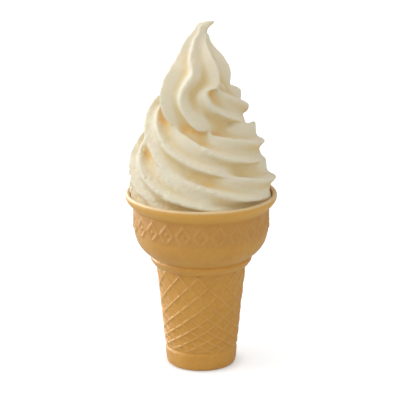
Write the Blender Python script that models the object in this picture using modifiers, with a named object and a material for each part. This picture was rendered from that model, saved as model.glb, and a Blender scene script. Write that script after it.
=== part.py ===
"""Soft serve ice cream piped into a flat-bottomed wafer cup cone.

Metres, +Z up. The origin is the centre of the cup's foot, on the table. -Y is the front, and the
hooked tip of the swirl points to +X. Two pieces: the baked wafer cup, and the ice cream, which
fills the cup and rises above it as one star-shaped rope wound in a closing coil.
"""

import math

import bmesh
import bpy
import numpy as np

# ---------------------------------------------------------------- driving dimensions
# The wafer cup
WALL = 0.0018
FLOOR = 0.0022
FOOT_REST_RADIUS = 0.0129
FOOT_RADIUS = 0.0141
FOOT_TOP_RADIUS = 0.0143
FOOT_TOP = 0.0072
STEM_RADIUS_LOW = 0.0139
STEM_RADIUS_HIGH = 0.01745
STEM_TOP = 0.0416
COLLAR_UNDERCUT = 0.0007
COLLAR_RADIUS_LOW = 0.0193
COLLAR_RADIUS_HIGH = 0.0203
COLLAR_TOP = 0.0452
SHOULDER_CENTRE = 0.0570
SHOULDER_RISE = 0.0125
SHOULDER_REACH = 0.0114
BAND_RADIUS = 0.0267
LIP_BOTTOM = 0.0650
LIP_RISE = 0.0046
RIM_RADIUS = 0.0300
RIM_TOP = 0.0710
INNER_SHOULDER_LIFT = 0.0008
SOFT_EDGE = 0.0003

# The lattice of low ridges pressed into the stem: two families that cross, closer together lower
# down, as all heights are counted from one point under the cup. The first row of crossings would
# lie above the stem, under the collar.
LATTICE_STARTS = 14
LATTICE_ROWS = 14
LATTICE_TURN = math.radians(-3.7)
LATTICE_APEX = -0.0132
LATTICE_FIRST = 0.0445
LATTICE_TOP = 0.0417
LATTICE_SHRINK = 0.0795
RIDGE_HEIGHT = 0.00045
RIDGE_HALF_WIDTH = 0.00045
CORE_SUNK = 0.0006

# The rope of ice cream: a star with rounded valleys, larger at the front than at the back
GAP = 0.0003
ROPE_RIDGES = 7
ROPE_TIP_RADIUS = 0.0070
ROPE_VALLEY = 0.70
ROPE_SWELL = 0.0012
ROPE_SWELLS = (2.9, 3.2)
ROPE_SWELL_POWER = 1.5
ROPE_UNEVEN = (0.067, 0.206)
ROPE_BACK_UNEVEN = 0.3
ROPE_SAG = 0.412
ROPE_RISE = 0.438
SAG_FADES = (0.102, 0.108)

# The coil that it is wound in, counted in turns from under the rim. The waves are the sizes of the
# cosine and sine of once, twice and three times a turn.
COIL_RADIUS = 0.02248
COIL_CENTRE = (-0.00078, 0.00167)
COIL_BACK_FLATTENED = 0.95
COIL_WIDEST_TURN = 0.8
COIL_CLOSING_TURNS = 3.5
COIL_CLOSING_POWER = 1.674
COIL_LOW_NARROWING = 0.0036
COIL_START = -0.45
COIL_END = 3.19
COIL_HEIGHT_AT_TURN_1 = 0.0748
COIL_PITCH = 0.01462
COIL_LOW_PITCH = 0.0030
COIL_LOW_TURN = 0.62
HEIGHT_WAVES = (-0.00057, -0.00275, 0.00234, 0.00137)
LAST_CLIMB = 0.0114
LAST_CLIMB_TURNS = (3.0, 3.3)
RIDGE_AT_RIGHT = 14.2
TWIST_WAVES = (4.2, -19.3, -8.4, 1.6, 1.4, -8.2)
LAST_TWIST_FADES_IN = (2.7, 3.0)
LAST_TWIST = (-5.4, -88.1)

# Where the rope turns up into the peak: x, y, z, its tip radius, and the first ridge's angle from
# the right in degrees
PEAK = (
    (0.0006, -0.0086, 0.1061, 0.0124, -14.9),
    (-0.0030, -0.0072, 0.1097, 0.0137, -16.8),
    (-0.0031, -0.0057, 0.1140, 0.0136, -13.0),
    (-0.0014, -0.0042, 0.1174, 0.0131, -14.3),
    (-0.0005, -0.0029, 0.1215, 0.0121, -17.4),
    (-0.0008, -0.0018, 0.1256, 0.00945, -20.4),
    (-0.0011, -0.0010, 0.1287, 0.00746, -18.0),
    (-0.0010, -0.0004, 0.1319, 0.00544, -18.0),
    (0.0001, 0.0000, 0.1347, 0.0038, -18.0),
    (0.0002, 0.0000, 0.1368, 0.0027, -18.0),
    (0.0024, 0.0000, 0.1382, 0.0017, -18.0),
    (0.0041, 0.0000, 0.1389, 0.0010, -18.0),
    (0.0057, 0.0000, 0.1395, 0.0004, -18.0),
)
BEND_POINTS = 3
FRONT = -2 * math.pi * 3.25

# The ice cream under and inside the coil
CORE_PAST_ROPE = 0.0022
CORE_FIRST_TURN = 0.6
CORE_RINGS = 7
CORE_TOP = 0.1140
CORE_BOTTOM = 0.0640

# The cutter that keeps the ice cream inside the cup reaches this far out past the rim
ROOM_ROUND_RIM = 0.006

# How finely the solids are faceted
CUP_STEPS = 36
ROPE_STEP = 0.0010
ROPE_POINTS_A_RIDGE = 8
COIL_POINTS_A_TURN = 24
CURVE_STEP = 0.0005
BEND_SMOOTHING = 31
CORE_STEPS = 48
MERGED_ON_AXIS = 0.00002
VOXEL = 0.0006
FACETS_KEPT = 0.0225


# ---------------------------------------------------------------- helpers
def clear_scene():
    for obj in list(bpy.data.objects):
        bpy.data.objects.remove(obj)


def new_collection(name):
    collection = bpy.data.collections.new(name)
    bpy.context.scene.collection.children.link(collection)
    return collection


def material(name, colour, roughness):
    result = bpy.data.materials.new(name)
    result.use_nodes = True
    shader = result.node_tree.nodes["Principled BSDF"]
    shader.inputs["Base Color"].default_value = (*colour, 1)
    shader.inputs["Roughness"].default_value = roughness
    shader.inputs["Metallic"].default_value = 0
    return result


def place(mesh, name, collection, finish=None):
    obj = bpy.data.objects.new(name, mesh)
    collection.objects.link(obj)
    if finish:
        mesh.materials.append(finish)
    else:
        obj.hide_render = True
        obj.display_type = "WIRE"
    return obj


def turned(name, profile, steps, collection, finish=None, ring=False):
    """A profile of (radius, height) points turned about Z: on the axis at both ends, or a ring."""
    mesh = bpy.data.meshes.new(name)
    points = [(radius, 0, height) for radius, height in profile]
    edges = [(i, i + 1) for i in range(len(points) - 1)]
    if ring:
        edges.append((len(points) - 1, 0))
    mesh.from_pydata(points, edges, [])
    obj = place(mesh, name, collection, finish)
    screw = obj.modifiers.new("turn", "SCREW")
    screw.axis = "Z"
    screw.steps = steps
    screw.render_steps = steps
    screw.use_merge_vertices = True
    screw.merge_threshold = MERGED_ON_AXIS
    screw.use_smooth_shade = True
    return obj


def boolean(obj, operation, other):
    cut = obj.modifiers.new(operation.lower(), "BOOLEAN")
    cut.operation = operation
    cut.object = other


def join(obj, other):
    """Adds the other object's evaluated mesh to the object's own, in place."""
    graph = bpy.context.evaluated_depsgraph_get()
    added = bpy.data.meshes.new_from_object(other.evaluated_get(graph))
    added.transform(other.matrix_world)
    both = bmesh.new()
    both.from_mesh(obj.data)
    both.from_mesh(added)
    both.to_mesh(obj.data)
    both.free()


def one_skin(obj, voxel, share_kept):
    """One closed skin over pieces that run into each other, then as few facets as hold its form."""
    skin = obj.modifiers.new("one_skin", "REMESH")
    skin.mode = "VOXEL"
    skin.voxel_size = voxel
    skin.use_smooth_shade = True
    fewer = obj.modifiers.new("fewer_facets", "DECIMATE")
    fewer.ratio = share_kept


# ---------------------------------------------------------------- the wafer cup
def stem_radius(height):
    share = (height - FOOT_TOP) / (STEM_TOP - FOOT_TOP)
    return STEM_RADIUS_LOW + (STEM_RADIUS_HIGH - STEM_RADIUS_LOW) * share


def shoulder(inset, lift, points):
    """The round shoulder, an elliptic arc, from the band down to where it meets the collar."""
    last = math.sqrt(1 - (1 - (BAND_RADIUS - COLLAR_RADIUS_HIGH) / SHOULDER_REACH) ** 2)
    arc = []
    for i in range(points):
        down = last * i / (points - 1)
        radius = BAND_RADIUS - inset - SHOULDER_REACH * (1 - math.sqrt(1 - down * down))
        arc.append((radius, SHOULDER_CENTRE + lift - SHOULDER_RISE * down))
    return arc


def lip(inset, points):
    """The flared lip, a quarter of a sine wave, from the rim down to the band."""
    flare = RIM_RADIUS - BAND_RADIUS
    curve = []
    for i in range(points):
        up = 1 - i / (points - 1)
        radius = BAND_RADIUS - inset + flare * math.sin(math.pi / 2 * up)
        curve.append((radius, LIP_BOTTOM + LIP_RISE * up))
    return curve


def rim():
    """The rounded top edge of the wall, a half circle from its inside over to its outside."""
    half = WALL / 2
    arc = []
    for degrees in (150, 110, 70, 30):
        angle = math.radians(degrees)
        radius = RIM_RADIUS - half + half * math.cos(angle)
        arc.append((radius, RIM_TOP - half + half * math.sin(angle)))
    return arc


def inside_of_cup(inset):
    """The cup's inner face, moved in from the outer one by inset, from the floor up to the rim."""
    inner_foot = FOOT_RADIUS - inset
    floor = FLOOR + inset - WALL
    arc = shoulder(inset, inset - WALL + INNER_SHOULDER_LIFT, 4)
    stem = [(0, floor), (inner_foot, floor), (STEM_RADIUS_HIGH - inset, STEM_TOP)]
    return stem + arc[::-1] + lip(inset, 3)[::-1]


def outside_of_cup():
    """The outer face from the lip down to the foot, with the stem's core sunk under its lattice."""
    core_low = stem_radius(FOOT_TOP) - CORE_SUNK
    core_high = stem_radius(STEM_TOP) - CORE_SUNK
    edge = FOOT_RADIUS - FOOT_REST_RADIUS
    below = [
        (COLLAR_RADIUS_HIGH, COLLAR_TOP - SOFT_EDGE),
        (COLLAR_RADIUS_LOW, STEM_TOP + 2 * SOFT_EDGE),
        (COLLAR_RADIUS_LOW - COLLAR_UNDERCUT, STEM_TOP),
        (core_high, STEM_TOP),
        (core_low, FOOT_TOP),
        (FOOT_TOP_RADIUS - SOFT_EDGE, FOOT_TOP),
        (FOOT_TOP_RADIUS, FOOT_TOP - 2 * SOFT_EDGE),
        (FOOT_RADIUS, 2 * edge),
        (FOOT_RADIUS - 0.29 * edge, 0.67 * edge),
        (FOOT_RADIUS - 0.60 * edge, 0.17 * edge),
        (FOOT_REST_RADIUS - SOFT_EDGE, 0),
        (0, 0),
    ]
    return lip(0, 5) + shoulder(0, 0, 7) + below


def lattice_height(row):
    """Each row of crossings is nearer the apex under the cup by the same share."""
    above = (LATTICE_FIRST - LATTICE_APEX) * math.exp(-LATTICE_SHRINK * row)
    return min(LATTICE_APEX + above, LATTICE_TOP)


def lattice_sleeve(name, collection):
    """A closed sleeve whose outer face is diamonds sunk between two families of crossing ridges."""
    sleeve = bmesh.new()
    sector = 2 * math.pi / LATTICE_STARTS
    rings = []
    for row in range(LATTICE_ROWS):
        height = lattice_height(row)
        crest = stem_radius(height) + RIDGE_HEIGHT
        ring = []
        for half in range(2 * LATTICE_STARTS):
            angle = LATTICE_TURN + (half - LATTICE_STARTS / 2) * sector / 2
            point = (crest * math.cos(angle), crest * math.sin(angle), height)
            at_crossing = (half + row) % 2 == 1
            at_end = row in (0, LATTICE_ROWS - 1)
            ring.append(sleeve.verts.new(point) if at_crossing or at_end else None)
        rings.append(ring)
    cells = []
    for row in range(LATTICE_ROWS):
        for half in range(2 * LATTICE_STARTS):
            left = rings[row][half - 1]
            right = rings[row][(half + 1) % (2 * LATTICE_STARTS)]
            if (half + row) % 2 == 1:
                continue
            above = rings[row - 1][half] if row > 0 else rings[row][half]
            below = rings[row + 1][half] if row < LATTICE_ROWS - 1 else rings[row][half]
            cells.append(sleeve.faces.new((above, left, below, right)))
    sleeve.normal_update()
    bmesh.ops.inset_individual(
        sleeve, faces=cells, thickness=RIDGE_HALF_WIDTH, depth=-RIDGE_HEIGHT, use_even_offset=True
    )
    ends = [edge for edge in sleeve.edges if edge.is_boundary]
    inner = bmesh.ops.extrude_edge_only(sleeve, edges=ends)["geom"]
    for vertex in [item for item in inner if isinstance(item, bmesh.types.BMVert)]:
        inward = (stem_radius(vertex.co.z) - 2 * CORE_SUNK) / vertex.co.xy.length
        vertex.co.x *= inward
        vertex.co.y *= inward
    bmesh.ops.bridge_loops(sleeve, edges=[edge for edge in sleeve.edges if edge.is_boundary])
    bmesh.ops.recalc_face_normals(sleeve, faces=sleeve.faces)
    mesh = bpy.data.meshes.new(name)
    sleeve.to_mesh(mesh)
    sleeve.free()
    return place(mesh, name, collection)


def make_cup(parts, cutters):
    wafer = material("baked_wafer", (0.50, 0.27, 0.09), 0.62)
    profile = inside_of_cup(WALL) + rim() + outside_of_cup()
    cup = turned("wafer_cup", profile, CUP_STEPS, parts, wafer)
    boolean(cup, "UNION", lattice_sleeve("stem_lattice", cutters))
    return cup


# ---------------------------------------------------------------- the ice cream
def share(value, start, end):
    """How far a value has come from start to end, kept between 0 and 1."""
    return np.clip((value - start) / (end - start), 0, 1)


def waves(turn, sizes):
    """Cosines and sines of once, twice and more times a turn, summed so that whole turns give nothing."""
    total = 0 * turn
    for i in range(0, len(sizes), 2):
        angle = math.pi * (i + 2) * turn
        total = total + sizes[i] * (np.cos(angle) - 1) + sizes[i + 1] * np.sin(angle)
    return total


def coil_centre(turn):
    """The rope's centre in the coil: it closes in as a power of the turns while it climbs."""
    closing = np.clip((turn - COIL_WIDEST_TURN) / COIL_CLOSING_TURNS, 0, None)
    radius = COIL_RADIUS * (1 - closing**COIL_CLOSING_POWER)
    radius = radius - COIL_LOW_NARROWING * np.clip(COIL_WIDEST_TURN - turn, 0, None)
    low = np.clip(COIL_LOW_TURN - turn, 0, None)
    height = COIL_HEIGHT_AT_TURN_1 + COIL_PITCH * (turn - 1) + (COIL_PITCH - COIL_LOW_PITCH) * low
    height = height + waves(turn, HEIGHT_WAVES) + LAST_CLIMB * share(turn, *LAST_CLIMB_TURNS) ** 2
    heading = -2 * math.pi * turn
    across = COIL_CENTRE[0] + radius * np.cos(heading)
    away = COIL_CENTRE[1] + radius * np.sin(heading) * np.where(
        np.sin(heading) > 0, COIL_BACK_FLATTENED, 1
    )
    return np.stack([across, away, height], axis=1), heading


def tip_radius(turn):
    """The star's radius: larger at the front and right, and swelling towards the peak."""
    once = 2 * math.pi * turn
    swell = ROPE_SWELL * share(turn, *ROPE_SWELLS) ** ROPE_SWELL_POWER
    front = np.sin(once) * np.where(np.sin(once) > 0, 1, ROPE_BACK_UNEVEN)
    return (ROPE_TIP_RADIUS + swell) * (1 + ROPE_UNEVEN[0] * np.cos(once) + ROPE_UNEVEN[1] * front)


def ridge_angle(turn):
    """The first ridge's angle from the outward side: one turn a coil turn, ahead or behind by waves."""
    fade = share(turn, *LAST_TWIST_FADES_IN)
    fade = fade * fade * (3 - 2 * fade)
    last = LAST_TWIST[0] + LAST_TWIST[1] * (turn - 3)
    ahead = waves(turn, TWIST_WAVES) * (1 - fade) + last * fade
    return np.radians(RIDGE_AT_RIGHT + 360 * turn + ahead)


def smooth_curve(points, parts):
    """A Catmull-Rom curve through the rows of points, with each stretch cut into equal parts."""
    ends = (2 * points[:1] - points[1:2], points, 2 * points[-1:] - points[-2:-1])
    rows = np.concatenate(ends)
    u = (np.arange(parts) / parts)[None, :, None]
    before, start, end, after = (rows[i : len(rows) - 3 + i, None, :] for i in range(4))
    curve = 2 * start + (end - before) * u
    curve = curve + (2 * before - 5 * start + 4 * end - after) * u**2
    curve = curve + (3 * start - before - 3 * end + after) * u**3
    return np.concatenate([curve.reshape(-1, points.shape[1]) / 2, points[-1:]])


def rope_course():
    """Rows of x, y, z, tip radius, heading and ridge angle, evenly spaced along the rope."""
    turn = np.linspace(COIL_START, COIL_END, round((COIL_END - COIL_START) * COIL_POINTS_A_TURN) + 1)
    centre, heading = coil_centre(turn)
    columns = (tip_radius(turn), heading, ridge_angle(turn))
    coil = np.concatenate([centre, np.stack(columns, axis=1)], axis=1)
    reached = np.clip((np.arange(len(PEAK)) + 1) / BEND_POINTS, 0, 1)
    facing = heading[-1] + (FRONT - heading[-1]) * reached
    spacing = 2 * math.pi / ROPE_RIDGES
    peak = np.array(PEAK)
    ridge = 6 * math.pi + np.radians(peak[:, 4]) - (facing - FRONT)
    ridge = ridge - np.round((ridge[0] - coil[-1, 5]) / spacing) * spacing
    peak = np.concatenate([peak[:, :4], np.stack([facing, ridge], axis=1)], axis=1)
    fine = smooth_curve(np.concatenate([coil, peak]), 16)
    steps = np.linalg.norm(np.diff(fine[:, :3], axis=0), axis=1)
    along = np.concatenate([[0], np.cumsum(steps)])
    even = np.arange(0, along[-1], CURVE_STEP)
    return np.stack([np.interp(even, along, column) for column in fine.T], axis=1)


def rope_surface(step, around):
    """The star carried along the course, as a grid of points: stations by points of the star."""
    course = rope_course()
    tangent = np.gradient(course[:, :3], axis=0)
    window = np.hanning(BEND_SMOOTHING + 2)[1:-1]
    padded = np.pad(tangent, ((BEND_SMOOTHING // 2, BEND_SMOOTHING // 2), (0, 0)), mode="edge")
    tangent = np.stack([np.convolve(column, window, "valid") for column in padded.T], axis=1)
    every = max(1, round(step / CURVE_STEP))
    keep = np.unique(np.append(np.arange(0, len(course), every), len(course) - 1))
    course = course[keep]
    tangent = tangent[keep] / np.linalg.norm(tangent[keep], axis=1)[:, None]
    heading = course[:, 4]
    outward = np.stack([np.cos(heading), np.sin(heading), 0 * heading], axis=1)
    outward = outward - tangent * np.sum(outward * tangent, axis=1)[:, None]
    outward = outward / np.linalg.norm(outward, axis=1)[:, None]
    upward = np.cross(tangent, outward)
    star = np.linspace(0, 2 * math.pi, around, endpoint=False)
    shape = 1 - (1 - ROPE_VALLEY) * np.abs(np.sin(star * ROPE_RIDGES / 2))
    angle = star[None, :] + course[:, 5:6]
    reach = course[:, 3:4] * shape[None, :]
    in_coil = 1 - share(course[:, 2:3], *SAG_FADES)
    sag = ROPE_SAG * np.clip(-np.sin(angle), 0, None) + ROPE_RISE * np.clip(np.sin(angle), 0, None)
    across = outward[:, None, :] * (reach * np.cos(angle))[..., None]
    rise = upward[:, None, :] * (reach * (1 + sag * in_coil) * np.sin(angle))[..., None]
    return course[:, None, :3] + across + rise


def loft(name, grid):
    """A closed skin over a grid of stations, with a flat face over each end."""
    stations, around = grid.shape[:2]
    index = np.arange(stations * around).reshape(stations, around)
    near, far = index[:-1], index[1:]
    sides = np.stack([near, np.roll(near, -1, 1), np.roll(far, -1, 1), far], axis=-1)
    faces = sides.reshape(-1, 4).tolist() + [index[0, ::-1].tolist(), index[-1].tolist()]
    mesh = bpy.data.meshes.new(name)
    mesh.from_pydata(grid.reshape(-1, 3).tolist(), [], faces)
    skin = bmesh.new()
    skin.from_mesh(mesh)
    bmesh.ops.recalc_face_normals(skin, faces=skin.faces)
    skin.to_mesh(mesh)
    skin.free()
    mesh.update()
    return mesh


def make_fill(cutters):
    """The ice cream that fills the cup up to just inside its lip."""
    cup = [point for point in inside_of_cup(WALL + GAP) if point[1] < RIM_TOP - 2 * WALL]
    return turned("cup_fill", [(0, cup[-1][1])] + cup[::-1], CUP_STEPS, cutters)


def make_core(cutters):
    """The ice cream inside the coil, turned about the coil's own axis, and what fills the cup."""
    turn = np.linspace(COIL_END, CORE_FIRST_TURN, CORE_RINGS)
    centre, _ = coil_centre(turn)
    radius = np.hypot(centre[:, 0] - COIL_CENTRE[0], centre[:, 1] - COIL_CENTRE[1])
    height = COIL_HEIGHT_AT_TURN_1 + COIL_PITCH * (turn - 1)
    profile = [(0, CORE_TOP)] + list(zip((radius + CORE_PAST_ROPE).tolist(), height.tolist()))
    profile += [(profile[-1][0], CORE_BOTTOM), (0, CORE_BOTTOM)]
    core = turned("coil_core", profile, CORE_STEPS, cutters)
    core.location = (*COIL_CENTRE, 0)
    boolean(core, "UNION", make_fill(cutters))
    return core


def space_outside(name, collection):
    """All that lies outside the cup's inner face up to just over the rim, less the gap."""
    inner = [point for point in inside_of_cup(WALL + GAP) if point[1] > COLLAR_TOP]
    above = RIM_TOP + GAP
    clear = RIM_RADIUS + ROOM_ROUND_RIM
    profile = inner + [(inner[-1][0], above), (clear, above), (clear, inner[0][1])]
    return turned(name, profile, CUP_STEPS, collection, ring=True)


def make_ice_cream(parts, cutters):
    cream = material("soft_serve_cream", (0.86, 0.76, 0.57), 0.5)
    skin = loft("soft_serve", rope_surface(ROPE_STEP, ROPE_RIDGES * ROPE_POINTS_A_RIDGE))
    swirl = place(skin, "soft_serve", parts, cream)
    join(swirl, make_core(cutters))
    one_skin(swirl, VOXEL, FACETS_KEPT)
    boolean(swirl, "DIFFERENCE", space_outside("cup_space", cutters))
    return swirl


def main():
    clear_scene()
    parts = new_collection("soft_serve_cone")
    cutters = new_collection("cutters")
    make_cup(parts, cutters)
    make_ice_cream(parts, cutters)


main()
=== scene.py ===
"""A finished soft serve cone: a baked wafer cup with its pressed lattice, and the piped ice cream.

Metres, +Z up, the foot's centre at the origin. -Y is the front.
"""

import math

import bmesh
import bpy
import numpy as np
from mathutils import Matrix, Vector


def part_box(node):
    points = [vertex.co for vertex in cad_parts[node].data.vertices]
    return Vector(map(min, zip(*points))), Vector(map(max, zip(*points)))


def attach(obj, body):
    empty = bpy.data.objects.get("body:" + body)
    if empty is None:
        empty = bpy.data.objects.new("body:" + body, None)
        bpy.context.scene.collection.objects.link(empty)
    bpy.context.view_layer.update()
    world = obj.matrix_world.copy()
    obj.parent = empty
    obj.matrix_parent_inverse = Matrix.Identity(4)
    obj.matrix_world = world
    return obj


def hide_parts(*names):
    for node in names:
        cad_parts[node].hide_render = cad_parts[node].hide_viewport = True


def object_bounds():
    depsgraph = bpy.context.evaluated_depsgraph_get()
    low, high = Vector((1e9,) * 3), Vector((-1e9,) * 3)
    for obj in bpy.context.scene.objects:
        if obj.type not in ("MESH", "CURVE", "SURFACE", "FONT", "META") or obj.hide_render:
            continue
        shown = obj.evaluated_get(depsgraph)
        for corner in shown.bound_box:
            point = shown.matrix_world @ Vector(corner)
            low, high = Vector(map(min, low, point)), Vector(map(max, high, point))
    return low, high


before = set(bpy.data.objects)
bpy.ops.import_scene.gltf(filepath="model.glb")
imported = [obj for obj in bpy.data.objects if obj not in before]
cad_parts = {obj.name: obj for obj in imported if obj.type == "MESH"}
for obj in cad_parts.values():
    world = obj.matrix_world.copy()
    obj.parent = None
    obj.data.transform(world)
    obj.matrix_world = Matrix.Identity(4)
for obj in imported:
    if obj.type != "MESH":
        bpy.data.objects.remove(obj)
cad_low, cad_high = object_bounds()
_, cup_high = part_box("wafer_cup")

# ---------------------------------------------------------------- sizes of the wafer cup
WALL = 0.0018
FLOOR = 0.0022
FOOT_REST_RADIUS = 0.0129
FOOT_RADIUS = 0.0141
FOOT_TOP_RADIUS = 0.0143
FOOT_TOP = 0.0072
STEM_RADIUS_LOW = 0.0139
STEM_RADIUS_HIGH = 0.01745
STEM_TOP = 0.0416
COLLAR_RADIUS_LOW = 0.0193
COLLAR_RADIUS_HIGH = 0.0203
COLLAR_TOP = 0.0452
SHOULDER_CENTRE = 0.0570
SHOULDER_RISE = 0.0125
SHOULDER_REACH = 0.0114
SHOULDER_LIFTED_INSIDE = 0.0008
BAND_RADIUS = 0.0267
LIP_BOTTOM = 0.0650
LIP_RISE = 0.0046
RIM_RADIUS = cup_high.x
RIM_TOP = cup_high.z

LATTICE_STARTS = 14
LATTICE_TURN = math.radians(-3.7)
LATTICE_APEX = -0.0132
LATTICE_FIRST = 0.0445
LATTICE_SHRINK = 0.0795
LATTICE_FADES_ABOVE_FOOT = (0.0004, 0.0016)
LATTICE_FADES_BELOW_TOP = (0.0003, 0.0012)
RIDGE_HEIGHT = 0.00058
RIDGE_HALF_WIDTH = 0.00036
RIDGE_UNEVEN = 0.25

LOZENGES = 24
LOZENGE_MIDDLE = 0.0596
LOZENGE_HALF_HEIGHT = 0.0046
LOZENGE_RISE = 0.00048
LOZENGE_LINE = 0.36
LOZENGE_STUD = 0.24
LOZENGES_FROM = SHOULDER_CENTRE - 0.001

# The outer face sinks in by these depths at most, over these cells of noise: (cell, seed, depth).
WANDER = ((0.45, 3, 0.00010), (0.17, 4, 0.00004))
WANDER_HEIGHT = 0.02
WANDER_ENDS_BELOW_RIM = (0.002, 0.004)

# Where the colours of the cup begin and end: the rim's painted highlight, the flare's painted light
# and the browner band.
RIM_HIGHLIGHT_BELOW_TOP = (0.0003, 0.0012)
FLARE_ABOVE_BAND = (0.0002, 0.0016)
BAND_FADES_BELOW = 0.003

CUP_COLUMNS = 360
INSIDE_ROWS = 12
RIM_ROWS = 13
LIP_ROWS = 14
BAND_ROWS = 28
SHOULDER_ROWS = 34
STEM_ROWS = 112

# ---------------------------------------------------------------- sizes of the ice cream
GAP = 0.0003
ROPE_RIDGES = 7
ROPE_TIP_RADIUS = 0.0070
ROPE_VALLEY = 0.68
CREST_SOFTNESS = 0.06
ROPE_SWELL = 0.0012
ROPE_SWELLS = (2.9, 3.2)
ROPE_UNEVEN = (0.067, 0.206)
ROPE_BACK_UNEVEN = 0.3
ROPE_SAG = 0.412
ROPE_RISE = 0.438
SAG_FADES = (0.102, 0.108)
COIL_RADIUS = 0.02248
COIL_CENTRE = (-0.00078, 0.00167)
COIL_BACK_FLATTENED = 0.95
COIL_WIDEST_TURN = 0.8
COIL_CLOSING_TURNS = 3.5
COIL_CLOSING_POWER = 1.674
COIL_LOW_NARROWING = 0.0036
COIL_START = -0.45
COIL_END = 3.19
COIL_HEIGHT_AT_TURN_1 = 0.0748
COIL_PITCH = 0.01462
COIL_LOW_PITCH = 0.0030
COIL_LOW_TURN = 0.62
HEIGHT_WAVES = (-0.00057, -0.00275, 0.00234, 0.00137)
LAST_CLIMB = 0.0114
LAST_CLIMB_TURNS = (3.0, 3.3)
RIDGE_AT_RIGHT = 14.2
TWIST_WAVES = (4.2, -19.3, -8.4, 1.6, 1.4, -8.2)
LAST_TWIST_FADES_IN = (2.7, 3.0)
LAST_TWIST = (-5.4, -88.1)
# Degrees ahead at the left of the last full turn: how many, at which turn, and how wide.
LEFT_LEAD = (14.0, 2.46, 0.13)
# The peak's course: x, y, height, tip radius, and the first ridge's angle in degrees.
PEAK = (
    (0.0006, -0.0086, 0.1061, 0.0124, -14.9),
    (-0.0030, -0.0072, 0.1097, 0.0137, -16.8),
    (-0.0031, -0.0057, 0.1140, 0.0136, -13.0),
    (-0.0014, -0.0042, 0.1174, 0.0131, -14.3),
    (-0.0005, -0.0029, 0.1215, 0.0121, -17.4),
    (-0.0008, -0.0018, 0.1256, 0.00945, -20.4),
    (-0.0011, -0.0010, 0.1287, 0.00746, -18.0),
    (-0.0010, -0.0004, 0.1319, 0.00544, -18.0),
    (0.0001, 0.0000, 0.1347, 0.0038, -18.0),
    (0.0002, 0.0000, 0.1368, 0.0027, -18.0),
    (0.0024, 0.0000, 0.1382, 0.0017, -18.0),
    (0.0041, 0.0000, 0.1389, 0.0010, -18.0),
    (0.0057, 0.0000, 0.1395, 0.0005, -18.0),
)
BEND_POINTS = 3
FRONT = -2 * math.pi * 3.25
CORE_FROM_TURN = 0.6
CORE_PAST_ROPE = 0.0022
CORE_TOP = 0.1140
CORE_BOTTOM = 0.0640
FILL_BELOW_RIM = 0.0005
CENTRE_HOLE = 0.0002
FREE_ABOVE_RIM = (0.0002, 0.0006)
FREE_ROOM = 0.02
INSIDE_BOX_BY = 0.00002

COIL_POINTS_A_TURN = 24
CURVE_PARTS = 16
CURVE_STEP = 0.0005
BEND_SMOOTHING = 31
ROPE_POINTS_A_RIDGE = 20
CORE_ROWS = 24
FILL_ROWS = 32
ROOM_ROWS = 40
TURNED_COLUMNS = 96
CREAM_VOXEL = 0.00036
SLOT_FILLED = 0.0006
FINE_EASINGS = 40
WIDE_EASINGS = 260
CRISPER = 0.22
SPIKE = (0.0006, 0.0010)
CREST_STANDS_OUT = (0.00008, 0.00040)
LOW_FULLNESS = 0.034
LOW_FULLNESS_FROM = (0.0712, 0.0745)
LOW_FULLNESS_TO = (0.0800, 0.0900)
MOST_TRIANGLES = 190000

# The rope has dragged most low down and to the left: the height and the x where that starts and
# is full. Its unevenness is noise over a cell: (cell, seed, depth).
ROUGH_DOWN = (0.112, 0.080)
ROUGH_LEFTWARD = (0.022, -0.012)
RIPPLES = ((0.0030, 11, 0.00012), (0.0012, 12, 0.00009))
CRUMB = (0.0008, 13, 0.00015)
CRUMB_EVERYWHERE = 0.3
TEAR = (0.0016, 14, 0.00055)
TEAR_OVER = 0.15
TEAR_EVERYWHERE = 0.5

# Where the folds are painted golden and orange as painted shade: how far a face looks down, how
# deep it lies, and its x.
GOLDEN_FACING = (-0.20, 0.50)
GOLDEN_UNDER_DEPTH = (-0.0023, -0.0004)
GOLDEN_HOLLOW_DEPTH = (-0.0001, 0.0010)
GOLDEN_UNDER, GOLDEN_HOLLOW = 0.95, 0.9
GOLDEN_PATCHES = (0.006, 15, 0.2)
ORANGE_DEPTH = (0.0007, 0.0015)
ORANGE_LEFTWARD = (-0.010, -0.004)

# ---------------------------------------------------------------- colours, lights and camera
WAFER_TAN = ((0.655, 0.320, 0.048), (0.740, 0.380, 0.066))
# The wafer's tints: raised is a painted highlight on the ridges and lozenges, rim a painted
# highlight along the rim, flare painted light on the flared lip, and band the band's own browner
# colour.
WAFER_TINTS_AND_PAINTED_LIGHT = (
    ("raised", 0.36, (0.78, 0.46, 0.15)),
    ("rim", 0.8, (0.88, 0.68, 0.38)),
    ("flare", 0.7, (0.80, 0.43, 0.070)),
    ("band", 0.4, (0.56, 0.27, 0.075)),
)
WAFER_PITS = (0.42, 0.17, 0.03)
CREAM_PALE = ((0.865, 0.780, 0.590), (0.895, 0.820, 0.645))
# The cream's tints: golden and orange are painted shade in the folds, and crest is a painted
# highlight on the crests.
CREAM_TINTS_AND_PAINTED_SHADE = (
    ("golden", 0.92, (0.785, 0.600, 0.270)),
    ("orange", 0.72, (0.890, 0.560, 0.190)),
    ("crest", 0.22, (0.925, 0.860, 0.715)),
)

FLOOR_SIDE = 8.0
FLOOR_BELOW_FOOT = 0.00005
FLOOR_COLOUR = (0.74, 0.78, 0.82, 1)
# The floor's glow near the foot and far from it: the weaker glow near the foot paints shadow there.
FLOOR_GLOW = (0.30, 0.54)
FLOOR_GLOW_REACH = 1.4
AIR_LIGHT, AIR_SEEN = 0.44, 1.1
WHITE = (1, 1, 1)
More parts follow.
